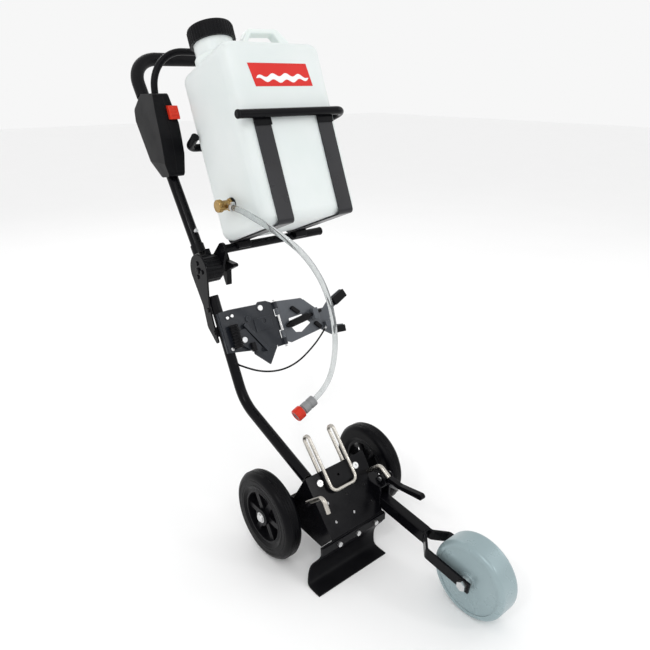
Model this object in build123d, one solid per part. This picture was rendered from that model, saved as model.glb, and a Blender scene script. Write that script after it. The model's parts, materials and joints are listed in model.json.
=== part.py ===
from build123d import *
from math import atan2, cos, degrees, hypot, pi, radians, sin, tan
import os

# Guide trolley for a hand-held power cutter: two rear wheels, a guide wheel in a fork, a
# tube column with folding handle, water tank in a cradle.  Millimetres, +Z up, front is -Y.
# Everything is laid out from the middle of the rear axle on the ground, then moved by SHIFT so
# that the origin sits in the middle of the footprint.
SHIFT = (-59.0, -85.6, 0.0)

GAP = 0.3                      # air between neighbouring bodies
FIT = 0.05                     # radial running clearance

# Rear wheels and axle
WHEEL_R, WHEEL_W = 100.0, 40.0
RIM_R = 62.0
WHEEL_X = 151.5                # wheel mid plane from the trolley's centre plane
BEAM = 20.0                    # square tube of axle and guide arm
AXLE_R = 6.0
BEAM_END = 126.0

# Guide wheel
GUIDE_R, GUIDE_W = 82.0, 53.0
GUIDE_X, GUIDE_Y = 63.0, -391.0
ARM_Y, ARM_Z = -112.0, 114.0   # pivot of the guide arm

# Chassis plate, slanted, as (Y, Z) of its top and bottom edges
PLATE_TOP = (-62.0, 199.5)
PLATE_BOTTOM = (-150.0, 97.0)
PLATE_L, PLATE_R = -98.0, 48.0
SHEET = 2.5
LIP_LOW = 76.0                 # folded lip under the plate that carries the apron

# Column
TUBE_R = 12.5
TUBE_WALL = 2.0
COL_X = -80.0
COL_FOOT = (-46.0, 182.9)
COL_BEND = (192.0, 270.3)
COL_TOP = (305.0, 506.0)
KNUCKLE = (331.0, 566.0)       # axis of the folding joint

# Upper handle
HANDLE_R = 13.5
HANDLE_LEAN = 32.8             # from the vertical, degrees
CROSS_Z = 1028.0
CROSS_END_X = 120.0

# Water tank and cradle
TANK_AT = (86.0, 197.5, 913.5)
TANK_LEAN = 21.7
TANK_W, TANK_D = 260.0, 214.0
TANK_LOW, TANK_HIGH = -225.6, 161.0
TANK_FRONT = 3.8
TANK_WALL = 3.0
STRAP_W, STRAP_T, STRAP_OFF = 40.0, 3.5, 84.0
HOOP_R = 9.0
CAP_X, CAP_Y, CAP_R = -76.0, 122.0, 52.0
NECK_R = 44.0
CAP_LOW, CAP_HIGH = 200.0, 235.0
TAP_Y, TAP_Z = 121.0, -154.0

# Water hose
HOSE_R, HOSE_BORE = 6.5, 4.5
HOSE_ROUTE = [
    (-60, 150, 715), (-44, 110, 697), (-14, 82, 668), (32, 80, 622),
    (80, 84, 552), (112, 92, 470), (126, 98, 390), (116, 100, 318), (84, 100, 276), (50, 100, 261)]

# Throttle unit on the column: origin on the front of the column tube, x to the side,
# y up the column, z away from it
UNIT_AT = (-80.0, 278.6, 478.0)
COL_LEAN = 25.6

# Throttle cable
CABLE_R = 2.2


def frame_of(origin, lean):
    """Plane standing on a leaning axis: x sideways, y rearward, z up the axis."""
    return Plane(
        origin=origin,
        x_dir=(1, 0, 0),
        z_dir=(0, sin(radians(lean)), cos(radians(lean))))


TANK = frame_of(TANK_AT, TANK_LEAN)
UNIT = Plane(
    origin=UNIT_AT,
    x_dir=(1, 0, 0),
    z_dir=(0, -cos(radians(COL_LEAN)), sin(radians(COL_LEAN))))
PLATE_RUN = (PLATE_BOTTOM[0] - PLATE_TOP[0], PLATE_BOTTOM[1] - PLATE_TOP[1])
PLATE_LEN = hypot(*PLATE_RUN)
# x sideways, y up the slope, z out of the front face
PLATE = Plane(
    origin=(0, PLATE_TOP[0], PLATE_TOP[1]),
    x_dir=(1, 0, 0),
    z_dir=(0, PLATE_RUN[1] / PLATE_LEN, -PLATE_RUN[0] / PLATE_LEN))
ARM_DROP = degrees(atan2(ARM_Z - GUIDE_R, ARM_Y - GUIDE_Y))
ARM_LEN = hypot(ARM_Z - GUIDE_R, ARM_Y - GUIDE_Y)
# x sideways, y forward along the arm, z up
ARM = Plane(
    origin=(GUIDE_X, ARM_Y, ARM_Z),
    x_dir=(-1, 0, 0),
    z_dir=(0, -sin(radians(ARM_DROP)), cos(radians(ARM_DROP))))
SIDE = Plane.YZ


def place(plane, shape):
    return plane.location * shape


def block(x0, x1, y0, y1, z0, z1, edge=0.0):
    """Box between limits, with its edges broken."""
    body = Pos((x0 + x1) / 2, (y0 + y1) / 2, (z0 + z1) / 2) * Box(x1 - x0, y1 - y0, z1 - z0)
    return fillet(body.edges(), edge) if edge else body


def rod_x(x0, x1, r, y=0.0, z=0.0):
    """Cylinder along X between two planes."""
    return Pos((x0 + x1) / 2, y, z) * Rot(0, 90, 0) * Cylinder(r, x1 - x0)


def rod_z(z0, z1, r, x=0.0, y=0.0):
    return Pos(x, y, (z0 + z1) / 2) * Cylinder(r, z1 - z0)


def rod_y(y0, y1, r, x=0.0, z=0.0):
    return Pos(x, (y0 + y1) / 2, z) * Rot(90, 0, 0) * Cylinder(r, y1 - y0)


def hex_z(z0, z1, across, x=0.0, y=0.0):
    return Pos(x, y, z0) * extrude(RegularPolygon(across / 2, 6, major_radius=False), z1 - z0)


def hex_x(x0, x1, across, y=0.0, z=0.0):
    return Pos(x0, y, z) * Rot(0, 90, 0) * extrude(
        RegularPolygon(across / 2, 6, major_radius=False), x1 - x0)


def plate_yz(points, x0, x1, corner=0.0):
    """Sheet parallel to the centre plane from an outline in (Y, Z)."""
    face = make_face(Polyline(*points, close=True))
    if corner:
        face = fillet(face.vertices(), corner)
    return Pos(x0, 0, 0) * extrude(SIDE * face, x1 - x0)


def plate_xy(points, z0, z1, corner=0.0):
    face = make_face(Polyline(*points, close=True))
    if corner:
        face = fillet(face.vertices(), corner)
    return Pos(0, 0, z0) * extrude(face, z1 - z0)


def bent_rod(points, radius, r, bore=0.0):
    """Round bar or tube along straight runs joined by bends."""
    line = FilletPolyline(*points, radius=radius) if len(points) > 2 else Line(*points)
    start = Plane(origin=line @ 0, z_dir=line % 0)
    section = Circle(r) - Circle(bore) if bore else Circle(r)
    return sweep(start * section, path=line)


def bend_radii(points):
    """Largest tidy bends that leave each run its own straight middle."""
    runs = [Vector(*b) - Vector(*a) for a, b in zip(points, points[1:])]
    radii = []
    for first, second in zip(runs, runs[1:]):
        half_turn = radians(first.get_angle(second)) / 2
        radii.append(0.45 * min(first.length, second.length) / tan(half_turn))
    return radii


# ---------------------------------------------------------------- rear axle and wheels

def axle_beam():
    tube = block(-BEAM_END, BEAM_END, -BEAM / 2, BEAM / 2, WHEEL_R - BEAM / 2, WHEEL_R + BEAM / 2)
    tube = fillet(tube.edges().filter_by(Axis.X), 2)
    return tube - rod_x(-BEAM_END - 1, BEAM_END + 1, AXLE_R, 0, WHEEL_R)


def axle_rod():
    return rod_x(-WHEEL_X - 21, WHEEL_X + 21, AXLE_R, 0, WHEEL_R)


def wheel_tyre(side):
    """Solid rubber tyre with rounded shoulders and three thin tread grooves."""
    half = WHEEL_W / 2
    outer = make_face(Polyline(
        (RIM_R, -half + 4), (RIM_R + 8, -half), (WHEEL_R - 1, -half), (WHEEL_R - 1, half),
        (RIM_R + 8, half), (RIM_R, half - 4), close=True))
    shoulders = outer.vertices().filter_by(lambda v: v.X > RIM_R + 10)
    outer = fillet(shoulders, 13)
    tread = Pos((WHEEL_R - 2), 0) * Rectangle(4, 17)
    outer = outer + tread
    for at in (-6.0, 0.0, 6.0):
        outer -= Pos(WHEEL_R, at) * Rectangle(2.4, 1.6)
    for radius in (74.0, 84.0):
        outer -= Pos(radius, half) * Rectangle(1.6, 1.6)
    body = revolve(Plane.XZ * outer, Axis.Z)
    return Pos(side * WHEEL_X, 0, WHEEL_R) * Rot(0, side * 90, 0) * body


def wheel_rim(side):
    """Moulded rim: ring, thin web ring, hub and six ribs."""
    half = WHEEL_W / 2
    ring = make_face(Polyline(
        (RIM_R - 6, -half + 3), (RIM_R, -half + 4), (RIM_R, half - 4), (RIM_R - 6, half - 3),
        close=True))
    body = revolve(Plane.XZ * ring, Axis.Z)
    body += Cylinder(19, WHEEL_W)
    for count in range(6):
        spoke = Pos(37, 0, 4) * Box(42, 13, 15)
        web = Pos(37, 0, -6) * Box(42, 5, 14)
        body += Rot(0, 0, 30 + 60 * count) * (spoke + web)
    body += Cylinder(33, 6) - Cylinder(18, 6)
    body -= Cylinder(AXLE_R + FIT, WHEEL_W + 2)
    return Pos(side * WHEEL_X, 0, WHEEL_R) * Rot(0, side * 90, 0) * body


def hub_cap(side):
    """Domed push-on cap on the axle end."""
    base = side * (WHEEL_X + WHEEL_W / 2 + GAP)
    flange = Cylinder(12, 1.5, align=(Align.CENTER, Align.CENTER, Align.MIN))
    dome = Pos(0, 0, 1.5) * Cylinder(9, 4.5, align=(Align.CENTER, Align.CENTER, Align.MIN))
    dome = fillet(dome.edges().sort_by(Axis.Z)[-1], 3.5)
    cap = flange + dome - Cylinder(AXLE_R, 1.5, align=(Align.CENTER, Align.CENTER, Align.MIN))
    return Pos(base, 0, WHEEL_R) * Rot(0, side * 90, 0) * cap


def axle_washers():
    found = []
    for side in (-1, 1):
        x0, x1 = sorted((side * BEAM_END, side * (WHEEL_X - WHEEL_W / 2 - GAP)))
        found.append(rod_x(x0, x1, 11, 0, WHEEL_R) - rod_x(x0, x1, AXLE_R, 0, WHEEL_R))
    return Compound(children=found)


# ---------------------------------------------------------------- chassis

def chassis_plate():
    """Folded sheet: slanted front plate with a raised ear and a flange down each side."""
    ear = 20.0
    lip_y = PLATE_BOTTOM[0]
    front = plate_xy(
        [(PLATE_L, 0), (PLATE_R + ear, 0), (PLATE_R + ear - 3, -42), (PLATE_R, -60),
         (PLATE_R, -PLATE_LEN), (PLATE_L, -PLATE_LEN)], -SHEET, 0)
    for x in (-70.0, -19.0, 32.0):
        for run in (66.0, 108.0):
            front -= rod_z(-SHEET, 0, 3.2, x, -run)
    body = place(PLATE, front)
    back = (SHEET * 0.76, SHEET * 0.65)
    top = (PLATE_TOP[0] + back[0], PLATE_TOP[1] - back[1])
    low = (PLATE_BOTTOM[0] + back[0], PLATE_BOTTOM[1] - back[1])
    outline = [top, low, (-116, 56), (-50, 60), (16, 82), (16, 118), (-20, 128)]
    left = plate_yz(outline, PLATE_L, PLATE_L + SHEET)
    right = plate_yz(outline, PLATE_R - SHEET, PLATE_R)
    lip = block(PLATE_L, PLATE_R, lip_y - 1, lip_y + 1.5, LIP_LOW, PLATE_BOTTOM[1])
    body += left + right + lip
    body += rod_x(PLATE_L - 12, PLATE_L + 1, 5, -84, 151) + rod_x(PLATE_R - 1, PLATE_R + 5, 5, -84, 151)
    return body - block(-130, 130, -BEAM / 2, BEAM / 2, 90, 110)


def clip_pad():
    pad = block(-47, 9, -42, -2, 0, 6)
    pad = fillet(pad.edges().filter_by(Axis.Z), 4)
    return place(PLATE, pad - rod_z(0, 6, 3.0, -21, -22))


def plate_screws():
    """Flat zinc-plated screws that hold the pad and the column to the plate."""
    found = []
    for x in (-70.0, 32.0):
        head = rod_z(0, 3.5, 8, x, -22)
        head = fillet(head.edges().sort_by(Axis.Z)[-1], 1.5)
        head -= hex_z(1.5, 3.5, 5, x, -22)
        found.append(place(PLATE, head + rod_z(-SHEET - 5, 0, 4, x, -22)))
    return Compound(children=found)


def wire_clip():
    """Spring wire: two hairpins over the plate's top edge, joined across its front."""
    wire = 4.0
    rear, front = -SHEET - wire - 4, 6 + wire + GAP
    half = []
    for x in (-54.0, 15.0):
        half.append([(x, -22, rear), (x, 80, rear), (x, 80, front), (x, -50, front)])
    path = half[0] + half[1][::-1]
    return place(PLATE, bent_rod(path, [8, 8, 14, 14, 8, 8], wire))


def tube_hooks():
    """Two stainless hooks that hold down the cutter's front tube."""
    found = []
    for x, bend, tip in ((PLATE_L - 5.2, (-127, 194), (-145, 164)),
                         (PLATE_R + 10.0, (-129, 199), (-157, 183))):
        found.append(bent_rod([(x, -76, 150), (x, *bend), (x, *tip)], 12, 5))
    return Compound(children=found)


# ---------------------------------------------------------------- splash apron

APRON_T = 3.0
STRIP_L, STRIP_R = -130.0, 50.0
APRON_Y = PLATE_BOTTOM[0] - 1 - APRON_T


def splash_apron():
    """Rubber sheet that hangs from the plate, curls forward over the ground and flares left."""
    front = [(APRON_Y, 96), (APRON_Y, 74), (-134, 40), (-136, 14), (-176, 3)]
    rear = [(y + APRON_T, z) for y, z in front[:2]]
    rear += [(-134 + APRON_T, 40), (-136 + 2.2, 14 - 2.2), (-176, 3 - APRON_T)]
    edge_f = Spline(*front, tangents=((0, -1), (-1, 0)))
    edge_r = Spline(*rear, tangents=((0, -1), (-1, 0)))
    caps = [Line(edge_f @ 0, edge_r @ 0), Line(edge_f @ 1, edge_r @ 1)]
    sheet = Pos(-160, 0, 0) * extrude(SIDE * make_face([edge_f, edge_r, *caps]), 220)
    outline = make_face(Polyline(
        (STRIP_L, 110), (STRIP_R, 110), (STRIP_R, 76), (STRIP_R - 14, -5), (-156, -5),
        (STRIP_L, 76), close=True))
    window = extrude(Plane(origin=(0, -100, 0), x_dir=(1, 0, 0), z_dir=(0, -1, 0)) * outline, 100)
    return sheet & window


def apron_strip():
    """Clamp bar across the front of the apron."""
    return block(STRIP_L, STRIP_R, APRON_Y - 4, APRON_Y, 78, 95)


def apron_bolts():
    """Bolts through bar, apron and lip, nut to the front."""
    found = []
    for x in (-85.0, -33.0, 19.0):
        at = Plane(origin=(x, APRON_Y - 4, 86), x_dir=(1, 0, 0), z_dir=(0, -1, 0))
        shank = rod_z(-APRON_T - 6.5, 5, 3)
        nut = hex_z(0, 5, 10) + rod_z(-APRON_T - 9.5, -APRON_T - 6.5, 6)
        found.append(place(at, shank + nut))
    return Compound(children=found)


# ---------------------------------------------------------------- guide arm and wheel

ARM_END = 150.0
ARM_W, ARM_H = 24.0, 28.0
TINE_OFF = 36.5                # tine mid plane from the arm's centre plane
TINE_T = 5.0


def guide_arm():
    """Rectangular tube, closed by a plate between the tines."""
    tube = block(-ARM_W / 2, ARM_W / 2, -12, ARM_END, -ARM_H / 2, ARM_H / 2)
    tube = fillet(tube.edges().filter_by(Axis.Y), 2)
    tube += block(-ARM_W / 2 + TINE_T, ARM_W / 2 - TINE_T, ARM_END, ARM_END + 4, -12, 12)
    return place(ARM, tube - rod_x(-ARM_W, ARM_W, 5 + FIT))


def fork_tine(side):
    """Flat bar from the arm's end that steps outward and runs to the wheel axle."""
    near = side * (ARM_W - TINE_T) / 2
    far = side * TINE_OFF
    line = FilletPolyline(
        (near, ARM_END), (near, ARM_END + 9), (far, ARM_END + 36), (far, ARM_LEN + 14), radius=12)
    start = Plane(origin=line @ 0, z_dir=line % 0, x_dir=(0, 0, 1))
    bar = sweep(start * Rectangle(24, TINE_T), path=line)
    bar -= Pos(0, ARM_LEN, 0) * rod_x(-60, 60, 6)
    return place(ARM, bar)


def guide_wheel():
    """Solid turned wheel with rounded rim and a shallow dish in each face."""
    half = GUIDE_W / 2
    face = make_face(Polyline((6, -half), (GUIDE_R, -half), (GUIDE_R, half), (6, half), close=True))
    face = fillet(face.vertices().filter_by(lambda v: v.X > 20), 9)
    for side in (-1, 1):
        face -= Pos(44, side * half) * Rectangle(50, 3)
    body = revolve(Plane.XZ * face, Axis.Z)
    body -= Cylinder(8.5 + FIT, GUIDE_W + 2)
    return Pos(GUIDE_X, GUIDE_Y, GUIDE_R) * Rot(0, 90, 0) * body


def guide_sleeve():
    """Bearing sleeve on the axle bolt, a little longer than the wheel is wide."""
    half = GUIDE_W / 2 + 0.6
    tube = rod_x(-half, half, 8.5) - rod_x(-half, half, 6)
    return Pos(GUIDE_X, GUIDE_Y, GUIDE_R) * tube


def guide_spacers():
    found = []
    for side in (-1, 1):
        x0, x1 = sorted((side * (GUIDE_W / 2 + 0.6), side * (TINE_OFF - TINE_T / 2)))
        ring = rod_x(x0, x1, 13) - rod_x(x0, x1, 6)
        found.append(Pos(GUIDE_X, GUIDE_Y, GUIDE_R) * ring)
    return Compound(children=found)


def guide_bolt():
    out = TINE_OFF + TINE_T / 2
    bolt = rod_x(-out, out + 12, 6) + hex_x(-out - 7, -out, 18)
    return Pos(GUIDE_X, GUIDE_Y, GUIDE_R) * bolt


def guide_nut():
    out = TINE_OFF + TINE_T / 2
    nut = hex_x(out, out + 9, 18) - rod_x(out, out + 9, 6)
    return Pos(GUIDE_X, GUIDE_Y, GUIDE_R) * nut


def arm_bracket():
    """Two cheeks on the plate's right flange that carry the arm and its pivot."""
    outline = [(-68, 150), (-142, 150), (-142, 98), (-100, 90), (-68, 98)]
    near, far = GUIDE_X - ARM_W / 2 - GAP, GUIDE_X + ARM_W / 2 + GAP
    body = plate_yz(outline, PLATE_R, near, 6) + plate_yz(outline, far, far + 4, 6)
    body += block(PLATE_R, far + 4, -142, -72, 150, 153)
    return body - rod_x(PLATE_R, 90, 5, ARM_Y, ARM_Z)


def arm_pivot():
    out = GUIDE_X + ARM_W / 2 + GAP + 4
    return rod_x(PLATE_R - 3, out + 3, 5, ARM_Y, ARM_Z) + hex_x(out, out + 6, 15, ARM_Y, ARM_Z)


LEVER_PIVOT = (-128.0, 163.0)


def lever_bracket():
    """Fork of folded sheet on top of the arm bracket."""
    cheeks = [(-112, 153), (-144, 153), (-140, 170), (-124, 172)]
    body = plate_yz(cheeks, 62, 64.5, 3) + plate_yz(cheeks, 85.5, 88, 3)
    body += block(62, 88, -142, -112, 153, 155.5)
    return body - rod_x(60, 90, 3, *LEVER_PIVOT)


def depth_lever():
    """Flat hand lever, waisted behind its thicker end."""
    y, z = LEVER_PIVOT
    root, waist = Pos(y, z) * Circle(7), Pos(y - 50, z - 1) * Circle(5)
    tip = Pos(y - 106, z + 7) * Circle(6.5)
    face = make_hull(root.edges() + waist.edges()) + make_hull(waist.edges() + tip.edges())
    body = Pos(70, 0, 0) * extrude(SIDE * face, 11)
    return body + rod_x(65, 85, 7, y, z) - rod_x(60, 90, 3 + FIT, y, z)


def lever_pin():
    y, z = LEVER_PIVOT
    return rod_x(60, 90, 3, y, z) + rod_x(58, 60, 5, y, z) + rod_x(90, 92, 5, y, z)


def stop_rod():
    """Adjusting screw under the lever."""
    path = [(75, -146, 147), (75, -172, 150)]
    return bent_rod(path, 1, 3)


# ---------------------------------------------------------------- column and folding joint

def column_tube():
    path = [(COL_X, *COL_FOOT), (COL_X, *COL_BEND), (COL_X, *COL_TOP)]
    return bent_rod(path, 95, TUBE_R, TUBE_R - TUBE_WALL)


HUB_R = 32.0
HUB_LOW_X, HUB_MID_X, HUB_TOP_X = -95.2, -74.0, -52.4
BOLT_R = 4.0


def column_point(drop, back=0.0):
    """Point beside the upper column, measured down from the folding joint and rearward."""
    lean = radians(COL_LEAN)
    return (KNUCKLE[0] - drop * sin(lean) + back * cos(lean),
            KNUCKLE[1] - drop * cos(lean) - back * sin(lean))


TAIL_SCREWS = ((95, 8), (150, 9))


def joint_plate():
    """Pear-shaped side plate whose tail runs down behind the column and is screwed to it."""
    x0, x1 = HUB_LOW_X - 4, HUB_LOW_X
    rounds = [Pos(*KNUCKLE) * Circle(38)]
    for drop, back, radius in ((80, 13, 14), (130, 20, 15), (170, 12, 6)):
        rounds.append(Pos(*column_point(drop, back)) * Circle(radius))
    face = Sketch()
    for first, second in zip(rounds, rounds[1:]):
        face += make_hull(first.edges() + second.edges())
    body = Pos(x0, 0, 0) * extrude(SIDE * face, x1 - x0)
    for spot in TAIL_SCREWS:
        y, z = column_point(*spot)
        body += Pos(0, y, z) * Rot(-COL_LEAN, 0, 0) * block(x1, x1 + 8, -6, 6, -12, 12)
    run = Vector(0, COL_TOP[0] - COL_BEND[0], COL_TOP[1] - COL_BEND[1]).normalized()
    axis = Plane(origin=(COL_X, *COL_TOP), x_dir=(1, 0, 0), z_dir=run)
    body -= place(axis, rod_z(-260, 20, TUBE_R))
    return body - rod_x(x0, x1, BOLT_R, *KNUCKLE)


def joint_screws():
    """Three screws into the fixed hub and two into the column."""
    found = []
    x = HUB_LOW_X - 4
    spots = []
    for angle in (75, 180, 285):
        spots.append((
            KNUCKLE[0] + 17 * cos(radians(angle)), KNUCKLE[1] + 17 * sin(radians(angle))))
    spots += [column_point(*spot) for spot in TAIL_SCREWS]
    for y, z in spots:
        head = rod_x(x - 3, x, 5.5, y, z)
        found.append(fillet(head.edges().sort_by(Axis.X)[0], 1.5))
    return Compound(children=found)


def toothed_hub(x0, x1):
    """Hub of the folding joint with notches round its rim."""
    body = rod_x(x0, x1, HUB_R, *KNUCKLE)
    for count in range(20):
        angle = radians(18 * count + 9)
        y = KNUCKLE[0] + (HUB_R + 0.6) * cos(angle)
        z = KNUCKLE[1] + (HUB_R + 0.6) * sin(angle)
        body -= rod_x(x0, x1, 2.4, y, z)
    return body


def hub_fixed():
    return toothed_hub(HUB_LOW_X, HUB_MID_X - GAP / 2) - rod_x(-100, -40, BOLT_R, *KNUCKLE)


LEG = Plane(
    origin=(COL_X, *KNUCKLE),
    x_dir=(1, 0, 0),
    z_dir=(0, sin(radians(HANDLE_LEAN)), cos(radians(HANDLE_LEAN))))
LEG_START = 46.0


def hub_handle():
    """Upper half of the joint with the socket for the handle tube."""
    body = toothed_hub(HUB_MID_X + GAP / 2, HUB_TOP_X)
    arm = block(HUB_MID_X + GAP / 2 - COL_X, 20, -15, 15, 14, 44)
    socket = rod_z(39, 62, HANDLE_R + 2.5)
    body += place(LEG, arm + socket - rod_z(LEG_START, 90, HANDLE_R))
    return body - rod_x(-100, -40, BOLT_R + FIT, *KNUCKLE)


def joint_bolt():
    bolt = rod_x(HUB_LOW_X - 4, -20, BOLT_R, *KNUCKLE)
    head = rod_x(HUB_LOW_X - 8.5, HUB_LOW_X - 4, 7.5, *KNUCKLE)
    head = fillet(head.edges().sort_by(Axis.X)[0], 2.5)
    return bolt + head


ARM_BAR = TANK.from_local_coords((0, 205, -239.8))
LUG_X0, LUG_X1 = HUB_TOP_X + GAP, HUB_TOP_X + GAP + 6


def tank_lug():
    """Plate on the joint bolt that carries the tank's cross tube."""
    ring = Pos(*KNUCKLE) * Circle(27)
    eye = Pos(ARM_BAR.Y, ARM_BAR.Z) * Circle(16)
    face = make_hull(ring.edges() + eye.edges())
    body = Pos(LUG_X0, 0, 0) * extrude(SIDE * face, LUG_X1 - LUG_X0)
    return body - rod_x(LUG_X0, LUG_X1, BOLT_R + FIT, *KNUCKLE)


KNOB_X0, KNOB_X1 = LUG_X1 + GAP, -16.5


def star_knob():
    """Four-armed clamping knob."""
    body = rod_x(KNOB_X0, KNOB_X1, 15, *KNUCKLE)
    for count in range(4):
        angle = radians(168 + 90 * count)
        tip = (KNUCKLE[0] + 44 * cos(angle), KNUCKLE[1] + 44 * sin(angle))
        face = make_hull((Pos(*KNUCKLE) * Circle(15)).edges() + (Pos(*tip) * Circle(4)).edges())
        body += Pos(KNOB_X1 - 15, 0, 0) * extrude(SIDE * face, 13)
    return body - rod_x(KNOB_X0, -20 + GAP, BOLT_R + FIT, *KNUCKLE)


# ---------------------------------------------------------------- handle

CROSS_Y = KNUCKLE[0] + (CROSS_Z - KNUCKLE[1]) * tan(radians(HANDLE_LEAN))
LEG_LEN = (CROSS_Z - KNUCKLE[1]) / cos(radians(HANDLE_LEAN))
HANDLE_BEND = 68.0


def leg_point(run):
    lean = radians(HANDLE_LEAN)
    return (COL_X, KNUCKLE[0] + run * sin(lean), KNUCKLE[1] + run * cos(lean))


def handle_tube():
    path = [leg_point(LEG_START), leg_point(LEG_LEN), (CROSS_END_X, CROSS_Y, CROSS_Z)]
    return bent_rod(path, HANDLE_BEND, HANDLE_R, HANDLE_R - 2)


GRIP_START = 448.0


def grip_sleeve():
    """Soft sleeve over the bend and the cross bar."""
    path = [leg_point(GRIP_START), leg_point(LEG_LEN), (CROSS_END_X - 2, CROSS_Y, CROSS_Z)]
    return bent_rod(path, HANDLE_BEND, HANDLE_R + 2, HANDLE_R)


def grip_plug():
    lid = rod_x(CROSS_END_X, CROSS_END_X + 4, HANDLE_R + 2, CROSS_Y, CROSS_Z)
    lid = fillet(lid.edges().sort_by(Axis.X)[-1], 2.5)
    return lid + rod_x(CROSS_END_X - 14, CROSS_END_X, HANDLE_R - 2, CROSS_Y, CROSS_Z)


HOUSING_L, HOUSING_R = -110.0, -57.0
HOUSING_SPLIT = -82.0


def housing_body():
    """Wedge-shaped switch housing round the handle tube."""
    side_view = [(426, 771), (431, 815), (439, 856), (452, 905), (470, 952), (532, 950),
                 (566, 915), (564, 888), (505, 800), (468, 765)]
    body = plate_yz(side_view, HOUSING_L, HOUSING_R, 9)
    front_view = make_face(Polyline(
        (HOUSING_L + 10, 760), (HOUSING_L, 800), (HOUSING_L - 1, 900), (HOUSING_L + 5, 960),
        (HOUSING_R - 12, 960), (HOUSING_R + 1, 880), (HOUSING_R + 1, 830), (HOUSING_R - 8, 760),
        close=True))
    window = extrude(Plane(origin=(0, 600, 0), x_dir=(1, 0, 0), z_dir=(0, -1, 0)) * front_view, 200)
    body = body & window
    body -= place(LEG, rod_z(0, 600, HANDLE_R + 2))
    body -= switch_pocket()
    return body - bail_pocket()


SWITCH_Z0, SWITCH_Z1 = 896.0, 926.0


def switch_pocket():
    """Room for the stop switch in the housing's front right corner."""
    return block(-80, HOUSING_R + 5, 440, 477, SWITCH_Z0, SWITCH_Z1)


def stop_switch():
    """Red stop slide with grip grooves, standing a little out of the housing."""
    low, high = SWITCH_Z0 + GAP, SWITCH_Z1 - GAP
    body = plate_yz([(441, low + 6), (450, high), (473, high), (473, low), (440, low)],
                    -80 + GAP, HOUSING_R + 1, 1.5)
    for count in range(3):
        z = low + 7 + 6 * count
        body -= block(-76, HOUSING_R - 3, 430, 443 + 1.8 * count, z, z + 2.4)
    return body


BAIL_R = 8.0
BAIL_PIVOT = (508.0, 926.0)
BAIL_PATH = [(-80, 508, 926), (-80, 512, 1042), (CROSS_END_X - 10, 512, 1042)]


def bail_pocket():
    """Slot in the top of the housing in which the bail swings."""
    slot = block(-89, -71, 494, 544, 910, 970)
    return slot - place(LEG, rod_z(0, 600, HANDLE_R + 5))


def throttle_bail():
    bar = bent_rod(BAIL_PATH, 80, BAIL_R)
    hub = rod_x(-88.6, -71.4, 10.5, *BAIL_PIVOT)
    return bar + hub - rod_x(-90, -70, 3 + FIT, *BAIL_PIVOT)


def bail_plug():
    x = CROSS_END_X - 10
    lid = rod_x(x, x + 6, BAIL_R + 1.5, 512, 1042)
    return fillet(lid.edges(), 1.5)


def bail_pin():
    return rod_x(HOUSING_L + 10, HOUSING_R - 10, 3, *BAIL_PIVOT)


def housing_left():
    left = block(HOUSING_L - 5, HOUSING_SPLIT, 400, 600, 740, 990)
    return (housing_body() & left) - bail_pin()


def housing_right():
    right = block(HOUSING_SPLIT, HOUSING_R + 5, 400, 600, 740, 990)
    return (housing_body() & right) - bail_pin()


def housing_screws():
    found = []
    for y, z, out in ((446, 792, -2.5), (470, 870, 1.5), (528, 926, -6.0)):
        found.append(rod_x(HOUSING_R + out - 8, HOUSING_R + out, 3.4, y, z))
    return Compound(children=found)


def handle_screw():
    """Clamp screw through the lower end of the handle tube."""
    at = Plane(origin=leg_point(90), x_dir=(1, 0, 0), z_dir=(0, -0.84, 0.54))
    head = rod_z(HANDLE_R + 4, HANDLE_R + 10, 5)
    return place(at, fillet(head.edges().sort_by(Axis.Z)[-1], 1.5))


# ---------------------------------------------------------------- tank cradle

def tank_tube():
    """Cross tube under the tank."""
    tube = rod_x(LUG_X1, 240, 10) - rod_x(LUG_X1, 240, 8)
    return Pos(0, ARM_BAR.Y, ARM_BAR.Z) * tube


def tube_cap():
    lid = rod_x(240, 246, 10.5)
    lid = fillet(lid.edges().sort_by(Axis.X)[-1], 3)
    return Pos(0, ARM_BAR.Y, ARM_BAR.Z) * (lid + rod_x(226, 240, 8))


STRAP_BACK = TANK_FRONT + TANK_D + GAP + STRAP_T


def tank_straps():
    """Two flat bars up the front, under and up the back of the tank."""
    outer = make_face(Polyline(
        (0, 4), (0, TANK_LOW - 3.7), (STRAP_BACK, TANK_LOW - 3.7), (STRAP_BACK, 8), close=True))
    low = outer.vertices().filter_by(lambda v: v.Y < 0)
    outer = fillet(low, 10)
    inner = make_face(Polyline(
        (STRAP_T, 5), (STRAP_T, TANK_LOW - 0.2), (STRAP_BACK - STRAP_T, TANK_LOW - 0.2),
        (STRAP_BACK - STRAP_T, 9), close=True))
    low = inner.vertices().filter_by(lambda v: v.Y < 0)
    inner = fillet(low, 6.5)
    found = []
    for side in (-1, 1):
        x = side * STRAP_OFF - STRAP_W / 2
        found.append(place(TANK, Pos(x, 0, 0) * extrude(SIDE * (outer - inner), STRAP_W)))
    return Compound(children=found)


# Free end of the hoop: sideways place, length and rise of the hook
HOOK_X, HOOK, HOOK_RISE = -TANK_W / 2 - HOOP_R - 2.5, 42.0, 17.0


def tank_hoop():
    """Round bar round three sides of the tank, hooked at the open corner, with two tabs."""
    side_x = TANK_W / 2 + HOOP_R + 1
    back_y = STRAP_BACK + HOOP_R + FIT
    path = [(-144, -HOOP_R, 0), (side_x, -HOOP_R, 0), (side_x, back_y, 0),
            (HOOK_X, back_y, HOOK_RISE / 3), (HOOK_X, back_y - HOOK, HOOK_RISE)]
    bar = bent_rod(path, [25, 25, 18], HOOP_R, HOOP_R - 2)
    for side in (-1, 1):
        x = side * STRAP_OFF
        bar += block(x - 21, x + 21, -3.5, 0, -22, -5)
    return place(TANK, bar)


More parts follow.
